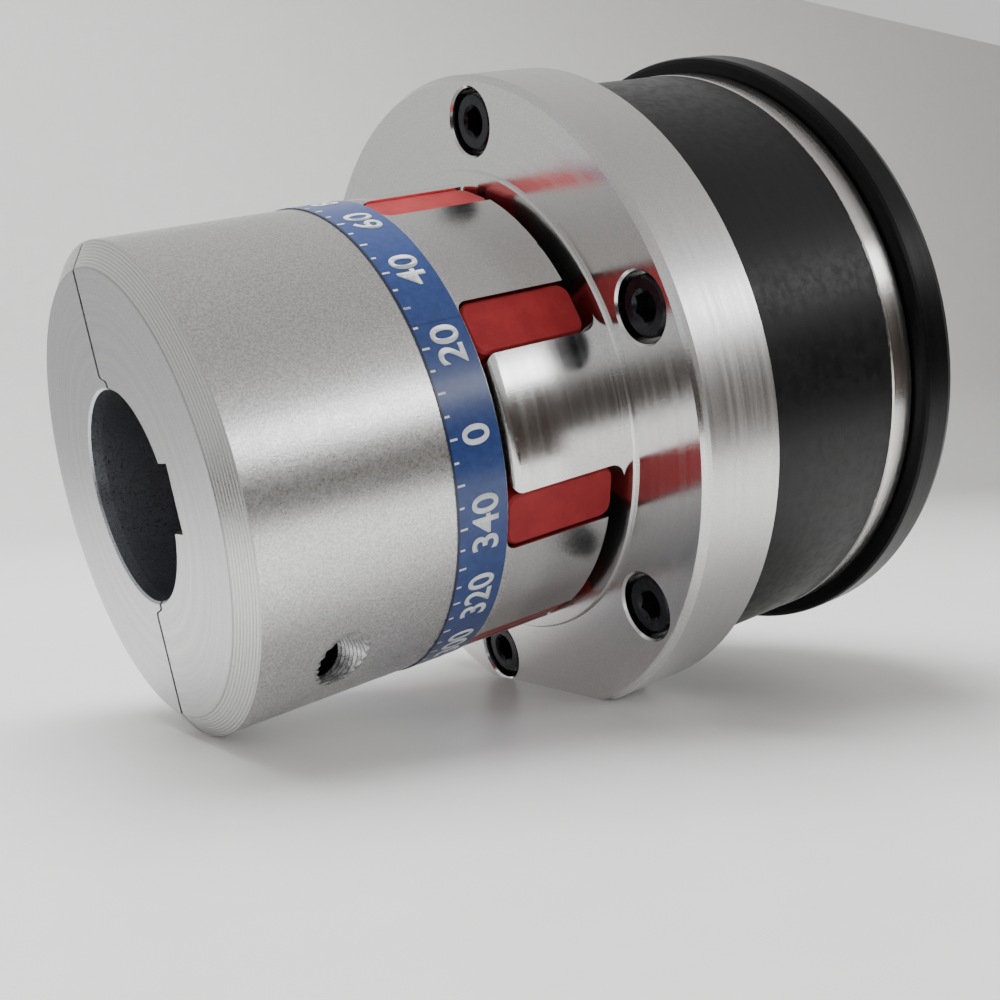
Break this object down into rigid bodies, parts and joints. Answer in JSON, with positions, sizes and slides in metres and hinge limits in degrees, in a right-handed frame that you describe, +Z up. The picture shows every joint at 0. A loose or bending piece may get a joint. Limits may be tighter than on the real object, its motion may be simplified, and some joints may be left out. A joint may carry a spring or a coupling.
{
  "type": "jaw coupling",
  "caption": "Jaw coupling with a split clamp hub, red elastomer spider, flanged jaw hub and a ball-detent torque limiter with a shift ring.",
  "frame": {"origin": "centre of the driven bore at the clamp hub's outer face", "axes": "+X along the rotation axis, from the clamp hub towards the shift ring and the limiter bore; +Z up; the keyways face -Y"},
  "size_m": [0.198, 0.153, 0.153],
  "materials": {
    "hub_aluminium": "satin turned",
    "flange_aluminium": "bright turned",
    "black_steel": "black oxide",
    "blue_band": "printed film",
    "red_elastomer": "semi-gloss polyurethane",
    "black_body": "satin black",
    "bright_steel": "machined",
    "bearing_steel": "ground",
    "cage_steel": "pressed",
    "spring_steel": "phosphated",
    "hub_steel": "turned",
    "black_ring": "satin black"
  },
  "bodies": {
    "limiter_hub": {"limiter_hub": "hub_steel", "bearing_inner_ring": "bearing_steel", "bearing_circlip": "spring_steel", "hub_set_screw": "black_steel"},
    "output": {"flanged_hub": "flange_aluminium", "flange_screws": "black_steel", "limiter_housing": "black_body", "cover_ring": "bright_steel", "cover_screws": "black_steel", "detent_plate": "bearing_steel", "detent_pins": "bearing_steel", "bearing_outer_ring": "bearing_steel"},
    "bearing_cage": {"bearing_cage": "cage_steel", "bearing_balls": "bearing_steel"},
    "shift_ring": {"shift_ring": "black_ring", "disc_springs": "spring_steel"},
    "torque_balls": {"torque_balls": "bearing_steel"},
    "thrust_washer": {"thrust_washer": "hub_steel"},
    "adjusting_nut": {"adjusting_nut": "hub_steel", "nut_lock_screw": "black_steel"},
    "spider": {"spider": "red_elastomer"},
    "clamp_hub": {"jaw_hub": "hub_aluminium", "hub_cap": "hub_aluminium", "clamp_screws": "black_steel", "marking_band": "blue_band"}
  },
  "joints": [
    {"name": "overload_spin", "type": "hinge", "parent": "limiter_hub", "child": "output", "pos_m": [0.124, 0, 0], "axis": [1, 0, 0], "continuous": true},
    {"name": "cage_spin", "type": "hinge", "parent": "limiter_hub", "child": "bearing_cage", "pos_m": [0.1234, 0, 0], "axis": [1, 0, 0], "continuous": true},
    {"name": "shift_travel", "type": "slide", "parent": "limiter_hub", "child": "shift_ring", "axis": [1, 0, 0], "range_m": [0, 0.0025], "stiffness_N_per_m": 60000, "springref_m": -0.0005, "deforming": ["disc_springs"]},
    {"name": "ball_lift", "type": "slide", "parent": "limiter_hub", "child": "torque_balls", "axis": [1, 0, 0], "range_m": [0, 0.0025]},
    {"name": "thrust_feed", "type": "slide", "parent": "limiter_hub", "child": "thrust_washer", "axis": [1, 0, 0], "range_m": [0, 0.00075]},
    {"name": "nut_turn", "type": "hinge", "parent": "thrust_washer", "child": "adjusting_nut", "pos_m": [0.181, 0, 0], "axis": [1, 0, 0], "range_deg": [0, 180]},
    {"name": "spider_pull_off", "type": "slide", "parent": "output", "child": "spider", "axis": [-1, 0, 0], "range_m": [-0.001, 0.03]},
    {"name": "hub_pull_off", "type": "slide", "parent": "spider", "child": "clamp_hub", "axis": [-1, 0, 0], "range_m": [-0.0003, 0.03]}
  ],
  "couplings": [
    {"joint": "ball_lift", "follows": "shift_travel", "ratio": 1},
    {"joint": "thrust_feed", "follows": "nut_turn", "m_per_rad": 0.00023873}
  ]
}
